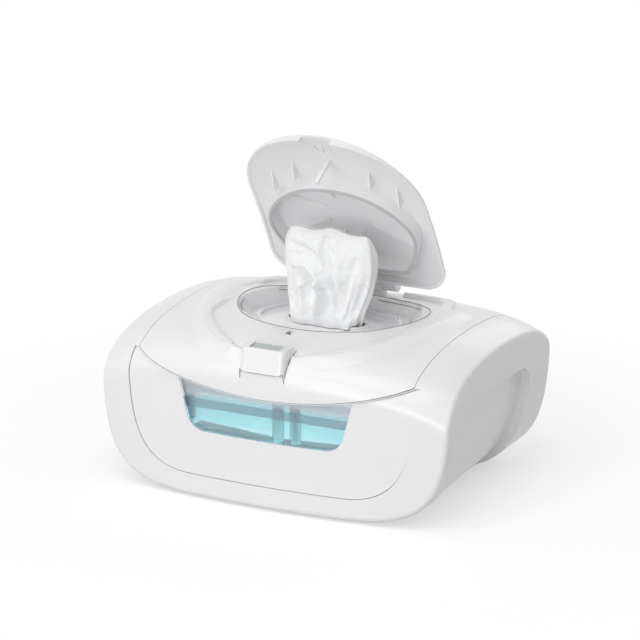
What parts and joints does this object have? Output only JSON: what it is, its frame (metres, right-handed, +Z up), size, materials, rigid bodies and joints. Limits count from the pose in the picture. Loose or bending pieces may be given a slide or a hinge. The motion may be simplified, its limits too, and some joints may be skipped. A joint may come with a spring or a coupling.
{
  "type": "baby wipe warmer",
  "caption": "Tabletop wipe warmer: rounded two-tone white casing, hinged main lid with a sprung dispensing lid and push-button latch, water tank behind a front window, heated wipe tub",
  "frame": {"origin": "bottom centre of the bounding box, on the surface that the feet stand on", "axes": "+X to the object's right seen from the front, -Y out of the front window, +Z up"},
  "size_m": [0.28, 0.223, 0.2586],
  "materials": {
    "white_shell": "polished white ABS",
    "white_inner": "white polypropylene",
    "clear_plastic": "clear moulded plastic",
    "frosted_insert": "milky translucent plastic",
    "button_grey": "pale grey-green plastic",
    "soft_rubber": "soft silicone",
    "steel": "plain steel",
    "heater_metal": "rolled sheet",
    "foam": "closed-cell foam",
    "board": "green circuit board",
    "black_plastic": "black plastic",
    "blue_water": "tinted water",
    "cotton": "moist nonwoven"
  },
  "bodies": {
    "base": {"housing": "white_shell", "front_panel": "white_shell", "window_lens": "clear_plastic", "base_plate": "white_inner", "base_screws": "steel", "rubber_feet": "soft_rubber", "deck": "white_inner", "wipe_tub": "white_inner", "heater_plate": "heater_metal", "heater_mat": "soft_rubber", "insulation_pad": "foam", "thermostat": "heater_metal", "control_board": "board", "board_screws": "steel", "wipe_stack": "cotton", "water_tank": "clear_plastic", "tank_cover": "white_inner", "tank_cap": "white_inner", "wick_tube": "clear_plastic", "water_wick": "cotton", "water": "blue_water", "dc_inlet": "black_plastic", "power_leads": "black_plastic", "main_hinge_pins": "steel"},
    "main_lid": {"main_lid": "white_shell", "dispensing_insert": "frosted_insert", "tub_seal": "soft_rubber", "lid_liner": "white_inner", "button_bezel": "white_shell", "button_spring": "steel", "flip_hinge_pin": "steel", "flip_spring": "steel", "pulled_wipe": "cotton"},
    "flip_lid": {"flip_lid": "white_shell", "flip_lid_seal": "soft_rubber"},
    "release_button": {"release_button": "button_grey", "latch_slider": "white_inner"}
  },
  "joints": [
    {"name": "main_lid_hinge", "type": "hinge", "parent": "base", "child": "main_lid", "pos_m": [0, 0.082, 0.111], "axis": [-1, 0, 0], "range_deg": [0, 70]},
    {"name": "flip_lid_hinge", "type": "hinge", "parent": "main_lid", "child": "flip_lid", "pos_m": [0, 0.062, 0.1265], "axis": [1, 0, 0], "range_deg": [0, 59], "stiffness_Nm_per_rad": 0.05, "springref_deg": -85.94, "deforming": ["pulled_wipe"]},
    {"name": "button_slide", "type": "slide", "parent": "main_lid", "child": "release_button", "axis": [0, 1, 0], "range_m": [0, 0.004], "stiffness_N_per_m": 400, "springref_m": -0.002, "deforming": ["button_spring"]}
  ]
}
